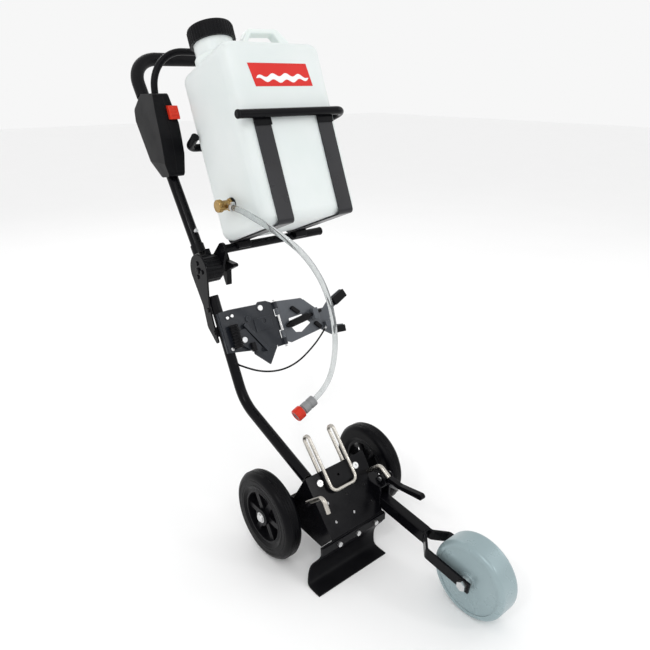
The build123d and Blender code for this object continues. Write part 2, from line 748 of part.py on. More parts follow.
def hoop_plugs():
    tip = (HOOK_X, STRAP_BACK + HOOP_R - HOOK, HOOK_RISE)
    end = Plane(origin=tip, z_dir=(0, -HOOK, HOOK_RISE * 2 / 3))
    front = rod_x(-149, -144, HOOP_R + 0.5, -HOOP_R)
    front = fillet(front.edges().sort_by(Axis.X)[0], 3.5)
    back = rod_z(0, 4, HOOP_R + 0.5)
    back = fillet(back.edges().sort_by(Axis.Z)[-1], 3)
    return Compound(children=[place(TANK, front), place(TANK, place(end, back))])


def strap_blocks():
    """Saddles that join the straps to the cross tube."""
    found = []
    for side in (-1, 1):
        x = side * STRAP_OFF
        body = block(x - 17, x + 17, 186, 224, -246, TANK_LOW - 3.7)
        body = fillet(body.edges().filter_by(Axis.X), 3)
        found.append(place(TANK, body - rod_x(x - 18, x + 18, 10, 205, -239.8)))
    return Compound(children=found)


# ---------------------------------------------------------------- tank

def tank_shell(inset):
    edge = 32.0 - inset
    body = block(
        -TANK_W / 2 + inset, TANK_W / 2 - inset, TANK_FRONT + inset,
        TANK_FRONT + TANK_D - inset, TANK_LOW + inset, TANK_HIGH - inset)
    body = fillet(body.edges().filter_by(Axis.Z), edge)
    rims = body.faces().sort_by(Axis.Z)
    return fillet(rims[-1].edges() + rims[0].edges(), 22.0 - inset)


def carry_handle():
    """Moulded grip on the tank's shoulder."""
    arch = make_face(Polyline(
        (-19, TANK_HIGH - 8), (-19, 194), (9, 228), (90, 231), (119, 200), (122, TANK_HIGH - 8),
        close=True))
    arch = fillet(arch.vertices().filter_by(lambda v: v.Y > 190), 16)
    hole = make_face(Polyline(
        (6, TANK_HIGH), (4, 200), (15, 216), (77, 218), (88, 202), (92, TANK_HIGH), close=True))
    hole = fillet(hole.vertices().filter_by(lambda v: v.Y > 190), 8)
    body = extrude(Plane(origin=(0, 124, 0), x_dir=(1, 0, 0), z_dir=(0, -1, 0)) * (arch - hole), 26)
    return fillet(body.edges().filter_by(lambda e: e.center().Z > TANK_HIGH + 5), 4.5)


def water_tank():
    """Blow-moulded hollow tank, neck and grip in one piece."""
    body = tank_shell(0)
    grip = carry_handle()
    neck = rod_z(TANK_HIGH - 10, CAP_HIGH - 12, NECK_R, CAP_X, CAP_Y)
    rim = rod_z(TANK_HIGH - 10, TANK_HIGH + 10, NECK_R + 5, CAP_X, CAP_Y)
    rim = fillet(rim.edges().sort_by(Axis.Z)[-1], 4)
    body = body + grip + neck + rim
    body -= tank_shell(TANK_WALL)
    body -= rod_z(TANK_HIGH - 12, CAP_HIGH, NECK_R - 4, CAP_X, CAP_Y)
    body -= rod_x(-TANK_W / 2 - 1, -TANK_W / 2 + 8, 9, TAP_Y, TAP_Z)
    return place(TANK, body)


def tank_cap():
    """Screw cap with grip ribs."""
    body = rod_z(CAP_LOW, CAP_HIGH, CAP_R - 1.6, CAP_X, CAP_Y)
    body = fillet(body.edges().sort_by(Axis.Z)[-1], 4)
    for count in range(44):
        angle = 2 * pi * count / 44
        x, y = CAP_X + (CAP_R - 2.2) * cos(angle), CAP_Y + (CAP_R - 2.2) * sin(angle)
        body += rod_z(CAP_LOW, CAP_HIGH - 6, 2.2, x, y)
    body -= rod_z(CAP_LOW, CAP_HIGH - 11, NECK_R + GAP, CAP_X, CAP_Y)
    return place(TANK, body)


TAP_AT = TANK.from_local_coords((0, TAP_Y, TAP_Z))
TAP_X = TANK_AT[0] - TANK_W / 2
TAP_END = TAP_X - 28
SPOUT_X, SPOUT = TAP_X - 20, 24.0


def tap_grommet():
    ring = rod_x(TAP_X - 4, TAP_X, 15) + rod_x(TAP_X, TAP_X + TANK_WALL, 9)
    ring = Pos(0, TAP_AT.Y, TAP_AT.Z) * (ring - rod_x(TAP_X - 4, TAP_X + TANK_WALL, 6.5))
    return ring


def tap_body():
    """Brass cock: threaded stem, hexagon, barrel and a barbed outlet to the front."""
    y, z = TAP_AT.Y, TAP_AT.Z
    stem = rod_x(TAP_X - 14, TAP_X + 8, 6.5, y, z)
    nut = hex_x(TAP_X - 11, TAP_X - 4, 24, y, z)
    barrel = rod_x(TAP_END, TAP_X - 11, 11, y, z)
    spout = rod_y(y - SPOUT, y, 6, SPOUT_X, z)
    barb = rod_y(y - SPOUT - 16, y - SPOUT + 1, HOSE_BORE, SPOUT_X, z)
    body = stem + nut + barrel + spout + barb
    body -= rod_y(y - SPOUT - 17, y, 2.5, SPOUT_X, z)
    return body


def tap_knob():
    """Knurled brass wheel that turns the cock."""
    y, z = TAP_AT.Y, TAP_AT.Z
    x1 = TAP_END - GAP
    body = rod_x(x1 - 12, x1, 14, y, z)
    body = fillet(body.edges(), 2.5)
    for count in range(16):
        angle = 2 * pi * count / 16
        body -= rod_x(x1 - 13, x1 + 1, 1.6, y + 14.4 * cos(angle), z + 14.4 * sin(angle))
    return body


def hose_clip():
    """Clamp round the hose on the tap's barb."""
    y, z = TAP_AT.Y, TAP_AT.Z
    rear = y - SPOUT - 5
    band = rod_y(rear - 7, rear, HOSE_R + 1.2, SPOUT_X, z)
    ear = block(SPOUT_X - 4, SPOUT_X + 4, rear - 7, rear, z + HOSE_R, z + HOSE_R + 5)
    return band + ear - rod_y(rear - 8, rear + 1, HOSE_R, SPOUT_X, z)


# ---------------------------------------------------------------- hose and coupling

def water_hose():
    """Clear hose from the tap's barb to the quick coupling."""
    start = TAP_AT.Y - SPOUT
    points = [(SPOUT_X, start, TAP_AT.Z), (SPOUT_X, start - 34, TAP_AT.Z)] + HOSE_ROUTE
    radii = bend_radii(points)
    print("hose bend radii", [round(radius, 1) for radius in radii])
    line = FilletPolyline(*points, radius=radii)
    start = Plane(origin=line @ 0, z_dir=line % 0)
    return sweep(start * (Circle(HOSE_R) - Circle(HOSE_BORE)), path=line)


def hose_end():
    """Plane at the hose's free end, z along the flow."""
    a, b = Vector(*HOSE_ROUTE[-2]), Vector(*HOSE_ROUTE[-1])
    return Plane(origin=b, z_dir=(b - a).normalized())


def coupling_body():
    """Grey half of the quick coupling, pushed over the hose end."""
    body = rod_z(-10, 26, 13.5)
    body = fillet(body.edges().sort_by(Axis.Z)[0], 2)
    body -= rod_z(6, 12, 20) - rod_z(6, 12, 12.5)
    body += rod_z(26, 50, 10)
    body -= rod_z(-10, 0, HOSE_R)
    body -= rod_z(0, 50, 5)
    return place(hose_end(), body)


def coupling_collar():
    """Sliding release collar."""
    body = rod_z(30, 52, 16)
    body = fillet(body.edges(), 3)
    body -= rod_z(30, 52, 10 + FIT)
    for count in range(12):
        angle = 2 * pi * count / 12
        body -= rod_z(29, 53, 1.5, 16.6 * cos(angle), 16.6 * sin(angle))
    return place(hose_end(), body)


# ---------------------------------------------------------------- throttle unit

HINGE_X, HINGE_Z = 148.0, 6.0


def unit_plate():
    """Base plate with a saddle against the column, a folded rail and two hinge barrels."""
    outline = [(-8, -6), (22, -5), (98, -9), (104, -4), (126, -6), (142, -14), (142, -118),
               (100, -122), (-8, -104)]
    body = plate_xy(outline, 0.5, 3, 2)
    body += block(-11, 11, -104, -8, -8, 0.5)
    body -= Pos(0, 0, -TUBE_R) * Rot(90, 0, 0) * Cylinder(TUBE_R, 400)
    body += block(78, 127, -74, -43, 3, 5.5) - rod_z(3, 5.5, 6, 106, -53)
    body += block(141, 150, -86, -50, 0.5, 3)
    tab = [(58, -112), (126, -112), (124, -124), (93, -160), (58, -124)]
    body += plate_xy(tab, -2, 0.5, 2)
    body += rod_z(3, 6, 7, 64, -38)
    for y0, y1 in ((-32, -14), (-124, -106)):
        body += rod_y(y0, y1, 5.5, HINGE_X, HINGE_Z)
        body += block(126, HINGE_X, y0, y1, 0.5, 3)
        body -= rod_y(y0 - 1, y1 + 1, 2.5, HINGE_X, HINGE_Z)
    body += Pos(68.5, -85.5, 8.5) * Rot(0, 0, 31) * Box(8, 88, 11)
    return place(UNIT, body)


def unit_screws():
    """Pan-head screws of the throttle unit, two large ones and three into the column."""
    found = []
    for x, y, r, z in ((105, -20, 7.5, 3), (35, -84, 7.5, 11), (11, -23, 4.5, 3), (24, -21, 4.5, 3),
                       (2, -97, 4.5, 3)):
        head = fillet(rod_z(z, z + 4, r, x, y).edges().sort_by(Axis.Z)[-1], 1.5)
        found.append(place(UNIT, head))
    return Compound(children=found)


def adjust_plate():
    """Small plate on a stud that sets the lower end of the spring unit."""
    outline = [(28, -60), (46, -58), (76, -112), (68, -122), (52, -116), (28, -96)]
    body = plate_xy(outline, 8.5, 11, 3)
    return place(UNIT, body + rod_z(3, 8.5, 6, 35, -84))


def stop_block():
    return place(UNIT, block(46, 57, -117, -95, 11, 22, 2))


def spring_boot():
    """Ribbed rubber boot over the return spring."""
    profile = [(3, -100)]
    for count in range(8):
        y = -98 + 7 * count
        profile += [(9, y), (11.5, y + 3.5)]
    profile += [(9, -42), (3, -42)]
    body = revolve(make_face(Polyline(*profile, close=True)), Axis.Y)
    return place(UNIT, Pos(15.5, 0, 15) * body)


PLUNGER_LEAN = 7.0
PLUNGER = Plane(
    origin=(157, -81, 16.5),
    x_dir=(0, 0, -1),
    z_dir=(cos(radians(PLUNGER_LEAN)), sin(radians(PLUNGER_LEAN)), 0))


def swing_plate():
    """Hinged plate with a window, hinge barrels and the plunger's guide block."""
    outline = [(154, -14), (229, -22), (264, -64), (278, -112), (166, -124), (154, -118)]
    window = [(176, -64), (234, -62), (238, -90), (204, -106), (186, -102), (176, -84)]
    body = plate_xy(outline, 4, 6.5, 3) - plate_xy(window, 4, 6.5, 2)
    for y0, y1 in ((-48, -32 - GAP), (-106 + GAP, -88)):
        body += rod_y(y0, y1, 5.5, HINGE_X, HINGE_Z)
        body += block(HINGE_X, 156, y0, y1, 4, 6.5)
        body -= rod_y(y0 - 1, y1 + 1, 2.5 + FIT, HINGE_X, HINGE_Z)
    guide = block(242, 258, -84, -56, 6, 26, 2)
    body += guide - place(PLUNGER, rod_z(60, 120, 4.5 + FIT))
    return place(UNIT, body)


def hinge_pin():
    pin = rod_y(-127, -11, 2.5, HINGE_X, HINGE_Z)
    pin += rod_y(-129, -127, 4, HINGE_X, HINGE_Z) + rod_y(-11, -9, 4, HINGE_X, HINGE_Z)
    return place(UNIT, pin)


def throttle_plunger():
    """Plunger with a conical tip that works the cutter's throttle trigger."""
    body = Pos(0, 0, 8) * Cone(2.5, 9, 16) + rod_z(16, 72, 9) + rod_z(72, 116, 4.5)
    return place(UNIT, place(PLUNGER, body))


def handle_fork():
    """Forked plate behind the swing plate that takes the cutter's rear handle."""
    outline = [(222, -40), (236, -26), (270, -60), (292, -62), (316, -44), (364, -26),
               (374, -46), (326, -68), (304, -92), (306, -112), (342, -118), (342, -138),
               (296, -136), (258, -108), (222, -70)]
    body = plate_xy(outline, 0.5, 4, 3) + block(277, 289, -113, -98, 4, 18)
    return place(UNIT, body)


def rubber_pads():
    """Cushions on the swing plate and the fork that bear on the cutter's handle."""
    found = []
    for x, y, z, turn, length, width, high in (
            (199, -48, 10.5, -45, 26, 9, 8), (256, -101, 10.5, -51, 22, 9, 8),
            (348, -46.5, 9, 22, 46, 22, 10), (321, -128, 8, -6, 38, 18, 8)):
        pad = Box(length, width, high)
        pad = fillet(pad.edges().filter_by(Axis.Z), 2)
        found.append(place(UNIT, Pos(x, y, z) * Rot(0, 0, turn) * pad))
    return Compound(children=found)


CABLE_ROUTE = [
    (4, -134, -1), (26, -152, 8), (54, -168, 14), (88, -178, 18), (124, -180, 20),
    (166, -172, 20), (212, -152, 18), (246, -134, 15), (272, -116, 12.5)]


def throttle_cable():
    """Bowden cable from the column to the swing plate."""
    points = [tuple(UNIT.from_local_coords(p)) for p in CABLE_ROUTE]
    radii = bend_radii(points)
    print("cable bend radii", [round(radius, 1) for radius in radii])
    line = FilletPolyline(*points, radius=radii)
    start = Plane(origin=line @ 0, z_dir=line % 0)
    return sweep(start * Circle(CABLE_R), path=line)


def cable_ferrule():
    """Ferrule of the cable at the swing plate, held in the fork's block."""
    run = (Vector(*CABLE_ROUTE[-1]) - Vector(*CABLE_ROUTE[-2])).normalized()
    return place(UNIT, place(Plane(origin=CABLE_ROUTE[-1], z_dir=run), rod_z(0, 10, 3.2)))


def cable_grommet():
    """Bush where the cable leaves the column."""
    run = (Vector(*CABLE_ROUTE[1]) - Vector(*CABLE_ROUTE[0])).normalized()
    return place(UNIT, place(Plane(origin=CABLE_ROUTE[0], z_dir=run), rod_z(-6, 0, 3.6)))


# ---------------------------------------------------------------- export

def group(*shapes):
    solids = [solid for shape in shapes for solid in shape.solids()]
    return Compound(children=solids)


def sub_parts():
    return {
        "axle_beam": axle_beam(), "axle_rod": axle_rod(),
        "axle_caps": group(axle_washers(), hub_cap(-1), hub_cap(1)),
        "tyre_right": wheel_tyre(-1), "rim_right": wheel_rim(-1),
        "tyre_left": wheel_tyre(1), "rim_left": wheel_rim(1),
        "chassis_plate": chassis_plate(), "clip_pad": clip_pad(), "plate_screws": plate_screws(),
        "wire_clip": wire_clip(), "tube_hooks": tube_hooks(), "splash_apron": splash_apron(),
        "apron_strip": apron_strip(), "apron_bolts": apron_bolts(),
        "guide_arm": guide_arm(),
        "fork_tines": group(fork_tine(1), fork_tine(-1)), "guide_wheel": guide_wheel(),
        "guide_spacers": group(guide_sleeve(), guide_spacers()),
        "guide_bolt": group(guide_bolt(), guide_nut()),
        "arm_bracket": arm_bracket() + lever_bracket(),
        "pivot_bolts": group(arm_pivot(), lever_pin(), stop_rod()),
        "depth_lever": depth_lever(), "column_tube": column_tube(), "joint_plate": joint_plate(),
        "column_screws": unit_screws(),
        "hub_fixed": hub_fixed(), "hub_handle": hub_handle(),
        "joint_bolt": group(joint_bolt(), joint_screws()),
        "tank_arm": tank_lug() + tank_tube(), "star_knob": star_knob(),
        "handle_tube": handle_tube(), "grip_sleeve": group(grip_sleeve(), grip_plug()),
        "switch_housing": group(housing_left(), housing_right()), "stop_switch": stop_switch(),
        "throttle_bail": group(throttle_bail(), bail_plug()),
        "housing_screws": group(housing_screws(), bail_pin(), handle_screw()),
        "tank_straps": tank_straps(), "strap_blocks": strap_blocks(), "tank_hoop": tank_hoop(),
        "cradle_plugs": group(tube_cap(), hoop_plugs()),
        "water_tank": water_tank(), "tank_cap": tank_cap(), "tap_grommet": tap_grommet(),
        "tap_body": tap_body(), "tap_knob": tap_knob(), "hose_clip": hose_clip(),
        "water_hose": water_hose(), "coupling_body": coupling_body(),
        "coupling_collar": coupling_collar(), "unit_plate": unit_plate(),
        "spring_unit": group(stop_block(), spring_boot()), "adjust_plate": adjust_plate(),
        "swing_plate": swing_plate(), "hinge_pin": hinge_pin(),
        "throttle_plunger": throttle_plunger(), "rubber_pads": rubber_pads(),
        "handle_fork": handle_fork(), "cable_ferrule": cable_ferrule(),
        "throttle_cable": group(throttle_cable(), cable_grommet()),
    }


# A piece and what passes through it or is let into it
SEATS = [
    ("splash_apron", "apron_strip"), ("splash_apron", "apron_bolts"), ("apron_strip", "apron_bolts"),
    ("chassis_plate", "apron_bolts"), ("chassis_plate", "pivot_bolts"),
    ("chassis_plate", "plate_screws"), ("chassis_plate", "tube_hooks"),
    ("arm_bracket", "chassis_plate"), ("arm_bracket", "tube_hooks"),
    ("handle_fork", "cable_ferrule"), ("column_tube", "throttle_cable"),
    ("unit_plate", "column_tube"), ("unit_plate", "joint_plate"),
    ("switch_housing", "housing_screws"), ("clip_pad", "plate_screws"),
]

os.makedirs("parts", exist_ok=True)
pieces = sub_parts()
for piece, insert in SEATS:
    pieces[piece] -= pieces[insert]
for name, shape in pieces.items():
    export_step(Pos(*SHIFT) * shape, f"parts/{name}.step")
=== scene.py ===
import json
import math

import bmesh
import bpy
from mathutils import Matrix, Vector


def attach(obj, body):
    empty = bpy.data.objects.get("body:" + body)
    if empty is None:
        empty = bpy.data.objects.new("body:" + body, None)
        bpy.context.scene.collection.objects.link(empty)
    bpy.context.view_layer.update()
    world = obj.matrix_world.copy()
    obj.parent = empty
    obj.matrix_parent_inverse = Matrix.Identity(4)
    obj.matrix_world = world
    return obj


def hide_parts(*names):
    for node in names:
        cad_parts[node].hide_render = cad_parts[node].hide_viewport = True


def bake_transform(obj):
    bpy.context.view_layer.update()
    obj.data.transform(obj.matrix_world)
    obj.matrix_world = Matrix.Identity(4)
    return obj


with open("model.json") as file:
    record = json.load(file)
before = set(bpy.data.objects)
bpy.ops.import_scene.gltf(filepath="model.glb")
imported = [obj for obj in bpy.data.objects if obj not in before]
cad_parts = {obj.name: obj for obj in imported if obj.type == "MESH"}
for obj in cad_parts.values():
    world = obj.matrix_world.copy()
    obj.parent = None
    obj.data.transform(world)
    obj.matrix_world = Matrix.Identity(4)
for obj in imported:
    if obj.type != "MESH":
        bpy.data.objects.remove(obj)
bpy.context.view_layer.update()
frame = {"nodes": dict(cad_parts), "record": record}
nodes = frame["nodes"]


# ---------------------------------------------------------------- shader helpers

class Shader:
    """A material's node tree with short calls for the nodes used here."""

    def __init__(self, name):
        self.material = bpy.data.materials.new(name)
        self.material.use_nodes = True
        self.tree = self.material.node_tree
        self.surface = self.tree.nodes["Principled BSDF"]
        self.place = self.add("ShaderNodeTexCoord").outputs["Object"]

    def add(self, kind, **settings):
        node = self.tree.nodes.new(kind)
        for key, value in settings.items():
            setattr(node, key, value)
        return node

    def link(self, source, target):
        self.tree.links.new(source, target)

    def set(self, **values):
        for key, value in values.items():
            self.surface.inputs[key.replace("_", " ")].default_value = value

    def noise(self, scale, detail=4.0, stretch=(1, 1, 1)):
        mapping = self.add("ShaderNodeMapping")
        mapping.inputs["Scale"].default_value = stretch
        self.link(self.place, mapping.inputs["Vector"])
        noise = self.add("ShaderNodeTexNoise")
        noise.inputs["Scale"].default_value = scale
        noise.inputs["Detail"].default_value = detail
        self.link(mapping.outputs["Vector"], noise.inputs["Vector"])
        return noise.outputs["Fac"]

    def spread(self, source, low, high, start=0.3, end=0.7):
        """Maps a 0 to 1 texture onto low to high."""
        span = self.add("ShaderNodeMapRange")
        for key, value in (("From Min", start), ("From Max", end), ("To Min", low), ("To Max", high)):
            span.inputs[key].default_value = value
        self.link(source, span.inputs["Value"])
        return span.outputs["Result"]

    def mix(self, factor, first, second):
        """Colour between first and second, each a colour or a socket."""
        node = self.add("ShaderNodeMix", data_type="RGBA")
        self.link(factor, node.inputs["Factor"])
        for socket, value in ((node.inputs["A"], first), (node.inputs["B"], second)):
            if isinstance(value, tuple):
                socket.default_value = (*value, 1.0)
            else:
                self.link(value, socket)
        return node.outputs["Result"]

    def edges(self, radius):
        """1 along outer edges, 0 on flats, from how far a rounded normal leaves the true one."""
        bevel = self.add("ShaderNodeBevel", samples=4)
        bevel.inputs["Radius"].default_value = radius
        true = self.add("ShaderNodeNewGeometry").outputs["True Normal"]
        dot = self.add("ShaderNodeVectorMath", operation="DOT_PRODUCT")
        self.link(bevel.outputs["Normal"], dot.inputs[0])
        self.link(true, dot.inputs[1])
        return self.spread(dot.outputs["Value"], 1.0, 0.0, 0.80, 0.99), bevel.outputs["Normal"]

    def bump(self, height, strength, distance, normal=None):
        bump = self.add("ShaderNodeBump")
        bump.inputs["Strength"].default_value = strength
        bump.inputs["Distance"].default_value = distance
        self.link(height, bump.inputs["Height"])
        if normal is not None:
            self.link(normal, bump.inputs["Normal"])
        return bump.outputs["Normal"]


def finish_of(name, colour, other, edge_highlight, roughness, grain, **values):
    """Coated or moulded finish: two close colours in clouds, edges paler as a painted highlight, fine
    grain.

    roughness is (low, high); grain is (scale per metre, strength, height in metres)."""
    shader = Shader(name)
    clouds = shader.noise(9.0, 5.0)
    fine = shader.noise(grain[0], 3.0)
    edge, rounded = shader.edges(0.0012)
    # Painted highlight: the edges turn paler in patches, as if catching light.
    edge_highlight_mask = shader.add("ShaderNodeMath", operation="MULTIPLY")
    shader.link(edge, edge_highlight_mask.inputs[0])
    shader.link(shader.spread(shader.noise(60.0, 6.0), 0.15, 1.0), edge_highlight_mask.inputs[1])
    body = shader.mix(shader.spread(clouds, 0.0, 1.0), colour, other)
    shader.link(shader.mix(edge_highlight_mask.outputs["Value"], body, edge_highlight), shader.surface.inputs["Base Color"])
    shader.link(shader.spread(shader.noise(26.0, 6.0), *roughness), shader.surface.inputs["Roughness"])
    shader.link(shader.bump(fine, grain[1], grain[2], rounded), shader.surface.inputs["Normal"])
    shader.set(**values)
    return shader.material


def bright_metal(name, colour, other, roughness, stretch, **values):
    """Bare or plated metal with fine drawn lines, dull patches and a painted highlight along the edges.
    """
    shader = Shader(name)
    lines = shader.noise(420.0, 3.0, stretch)
    patches = shader.noise(40.0, 6.0)
    edge, rounded = shader.edges(0.0006)
    body = shader.mix(shader.spread(patches, 0.0, 1.0), colour, other)
    # Painted highlight: the edges are a quarter paler than the metal.
    pale = tuple(min(1.0, channel * 1.25) for channel in colour)
    shader.link(shader.mix(edge, body, pale), shader.surface.inputs["Base Color"])
    shader.link(shader.spread(patches, *roughness), shader.surface.inputs["Roughness"])
    shader.link(shader.bump(lines, 0.08, 0.0001, rounded), shader.surface.inputs["Normal"])
    shader.set(Metallic=1.0, **values)
    return shader.material


def tank_finish():
    """Milky blow-moulded plastic with a slight ripple and a little light passing through."""
    shader = Shader("tank_plastic")
    ripple = shader.noise(11.0, 2.0, (1, 1, 0.35))
    pores = shader.noise(900.0, 2.0)
    cloud = shader.spread(shader.noise(5.0, 3.0), 0.0, 1.0)
    shader.link(shader.mix(cloud, (0.70, 0.765, 0.745), (0.78, 0.825, 0.81)),
                shader.surface.inputs["Base Color"])
    shader.link(shader.spread(ripple, 0.30, 0.42), shader.surface.inputs["Roughness"])
    soft = shader.bump(ripple, 0.35, 0.004)
    shader.link(shader.bump(pores, 0.12, 0.0002, soft), shader.surface.inputs["Normal"])
    shader.set(Subsurface_Weight=0.35, Subsurface_Radius=(0.02, 0.02, 0.018), Subsurface_Scale=0.5,
               Specular_IOR_Level=0.45)
    return shader.material


def hose_finish():
    """Clear soft hose: painted grey shade along its outline, nearly colourless in the middle, water
    marks inside.
    """
    shader = Shader("clear_hose")
    marks = shader.noise(70.0, 6.0, (1, 1, 0.4))
    # Painted shade: the hose turns grey along its outline, set by how squarely each point faces the
    # view.
    facing = shader.add("ShaderNodeLayerWeight")
    facing.inputs["Blend"].default_value = 0.45
    outline_shade = shader.spread(facing.outputs["Facing"], 0.0, 1.0, 0.25, 0.95)
    clear = shader.mix(shader.spread(marks, 0.0, 1.0), (0.62, 0.65, 0.65), (0.76, 0.78, 0.78))
    shader.link(shader.mix(outline_shade, clear, (0.30, 0.32, 0.33)), shader.surface.inputs["Base Color"])
    shader.link(shader.spread(marks, 0.04, 0.14), shader.surface.inputs["Roughness"])
    shader.link(shader.bump(shader.noise(300.0, 2.0), 0.06, 0.0002), shader.surface.inputs["Normal"])
    shader.set(Transmission_Weight=0.85, IOR=1.22, Specular_IOR_Level=0.8)
    return shader.material


def tyre_finish():
    shader = Shader("tyre_rubber")
    fine = shader.noise(1400.0, 3.0)
    edge, rounded = shader.edges(0.0008)
    dust = shader.spread(shader.noise(18.0, 6.0), 0.0, 1.0, 0.45, 0.75)
    body = shader.mix(dust, (0.002, 0.002, 0.003), (0.005, 0.005, 0.005))
    # Painted highlight: the edges are paler than the rubber.
    shader.link(shader.mix(edge, body, (0.02, 0.02, 0.021)), shader.surface.inputs["Base Color"])
    shader.link(shader.spread(shader.noise(30.0, 5.0), 0.26, 0.42), shader.surface.inputs["Roughness"])
    shader.link(shader.bump(fine, 0.3, 0.0002, rounded), shader.surface.inputs["Normal"])
    shader.set(Specular_IOR_Level=0.09)
    return shader.material


# The third colour of each finish_of is the painted highlight along its edges.
finishes = {
    "black_steel": finish_of(
        "black_steel", (0.002, 0.002, 0.003), (0.004, 0.004, 0.005), (0.04, 0.04, 0.044),
        (0.14, 0.26), (700.0, 0.12, 0.0002), Specular_IOR_Level=0.11),
    "strap_steel": finish_of(
        "strap_steel", (0.008, 0.008, 0.010), (0.012, 0.012, 0.015), (0.08, 0.08, 0.09),
        (0.26, 0.36), (900.0, 0.15, 0.0002), Specular_IOR_Level=0.35),
    "grey_steel": finish_of(
        "grey_steel", (0.010, 0.012, 0.017), (0.018, 0.021, 0.027), (0.12, 0.13, 0.145),
        (0.26, 0.40), (900.0, 0.18, 0.0002), Specular_IOR_Level=0.28),
    "unit_steel": finish_of(
        "unit_steel", (0.065, 0.072, 0.083), (0.090, 0.098, 0.111), (0.22, 0.23, 0.25),
        (0.26, 0.40), (900.0, 0.18, 0.0002), Specular_IOR_Level=0.35),
    "wheel_grey": finish_of(
        "wheel_grey", (0.28, 0.365, 0.385), (0.32, 0.405, 0.425), (0.50, 0.57, 0.59),
        (0.24, 0.34), (450.0, 0.10, 0.0002), Specular_IOR_Level=0.5, Metallic=0.3),
    "black_plastic": finish_of(
        "black_plastic", (0.003, 0.003, 0.004), (0.006, 0.006, 0.007), (0.03, 0.03, 0.032),
        (0.28, 0.42), (1500.0, 0.35, 0.00025), Specular_IOR_Level=0.11),
    "black_rubber": finish_of(
        "black_rubber", (0.003, 0.003, 0.004), (0.008, 0.008, 0.009), (0.025, 0.025, 0.025),
        (0.36, 0.52), (800.0, 0.35, 0.0003), Specular_IOR_Level=0.11),
    "red_plastic": finish_of(
        "red_plastic", (0.58, 0.022, 0.008), (0.66, 0.032, 0.012), (0.80, 0.12, 0.06),
        (0.24, 0.36), (1200.0, 0.15, 0.0002), Specular_IOR_Level=0.3),
    "grey_plastic": finish_of(
        "grey_plastic", (0.22, 0.225, 0.23), (0.27, 0.275, 0.28), (0.42, 0.42, 0.43),
        (0.32, 0.48), (1200.0, 0.2, 0.0002), Specular_IOR_Level=0.5),
    "label_red": finish_of(
        "label_red", (0.62, 0.018, 0.014), (0.66, 0.024, 0.018), (0.7, 0.06, 0.05),
        (0.30, 0.40), (600.0, 0.05, 0.0001), Specular_IOR_Level=0.3),
    "label_white": finish_of(
        "label_white", (0.84, 0.85, 0.85), (0.88, 0.88, 0.88), (0.9, 0.9, 0.9),
        (0.30, 0.40), (600.0, 0.05, 0.0001)),
    "zinc": bright_metal("zinc", (0.70, 0.70, 0.69), (0.58, 0.585, 0.60), (0.22, 0.42), (1, 1, 1)),
    "stainless": bright_metal(
        "stainless", (0.58, 0.555, 0.51), (0.49, 0.465, 0.42), (0.18, 0.34), (1, 0.15, 0.15)),
    "brass": bright_metal("brass", (0.56, 0.37, 0.14), (0.28, 0.18, 0.07), (0.14, 0.34), (1, 1, 1)),
    "tyre_rubber": tyre_finish(),
    "tank_plastic": tank_finish(),
    "clear_hose": hose_finish(),
}
# Nodes whose look is not their record slot's
special = {"tank_straps": "strap_steel", "swing_plate": "unit_steel", "handle_fork": "unit_steel"}
for part in frame["record"]["subparts"]:
    finish = special.get(part["node"], part["material_slot"])
    mesh = nodes[part["node"]].data
    mesh.materials.clear()
    mesh.materials.append(finishes[finish])


# ---------------------------------------------------------------- piece helpers

def new_mesh(name, vertices, faces, finish, body, smooth=True):
    """Mesh piece that rides on a body."""
    mesh = bpy.data.meshes.new(name)
    mesh.from_pydata(vertices, [], faces)
    mesh.update()
    for polygon in mesh.polygons:
        polygon.use_smooth = smooth
    mesh.materials.append(finishes[finish])
    piece = bpy.data.objects.new(name, mesh)
    bpy.context.scene.collection.objects.link(piece)
    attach(piece, body)
    return piece


def spline_curve(name, points, radius, finish):
    """Smooth round cord along a route of control points."""
    curve = bpy.data.curves.new(name, "CURVE")
    curve.dimensions = "3D"
    curve.bevel_depth = radius
    curve.bevel_resolution = 6
    curve.resolution_u = 10
    curve.use_fill_caps = True
    spline = curve.splines.new("NURBS")
    spline.points.add(len(points) - 1)
    for control, point in zip(spline.points, points):
        control.co = (*point, 1.0)
    spline.order_u = 3
    spline.use_endpoint_u = True
    curve.materials.append(finishes[finish])
    piece = bpy.data.objects.new(name, curve)
    bpy.context.scene.collection.objects.link(piece)
    return piece


def lathe(name, profile, origin, axis, finish, body):
    """Turned piece: profile is (along, radius) from one end to the other, closed at both ends."""
    steps = BUSH_STEPS
    turn = Vector(axis).normalized().to_track_quat("Z", "Y").to_matrix().to_4x4()
    place = Matrix.Translation(Vector(origin)) @ turn
    vertices = []
    for along, radius in profile:
        for step in range(steps):
            angle = 2 * math.pi * step / steps
            vertices.append(place @ Vector((radius * math.cos(angle), radius * math.sin(angle), along)))
    faces = []
    for ring in range(len(profile) - 1):
        for step in range(steps):
            after = (step + 1) % steps
            low, high = ring * steps, (ring + 1) * steps
            faces.append((low + step, low + after, high + after, high + step))
    faces.append(tuple(reversed(range(steps))))
    faces.append(tuple(range((len(profile) - 1) * steps, len(profile) * steps)))
    return new_mesh(name, vertices, faces, finish, body)


# ---------------------------------------------------------------- water hose

HOSE_ROUTE = [
    (-0.123, 0.14338, 0.72567), (-0.123, 0.10938, 0.72567), (-0.119, 0.0644, 0.715),
    (-0.103, 0.0244, 0.697), (-0.073, -0.0036, 0.668), (-0.027, -0.0056, 0.622),
    (0.021, -0.0016, 0.552), (0.053, 0.0064, 0.470), (0.067, 0.0124, 0.390),
    (0.057, 0.0144, 0.318), (0.025, 0.0144, 0.276), (-0.009, 0.0144, 0.261)]
HOSE_LENGTH, HOSE_DIAMETER = 0.654, 0.013


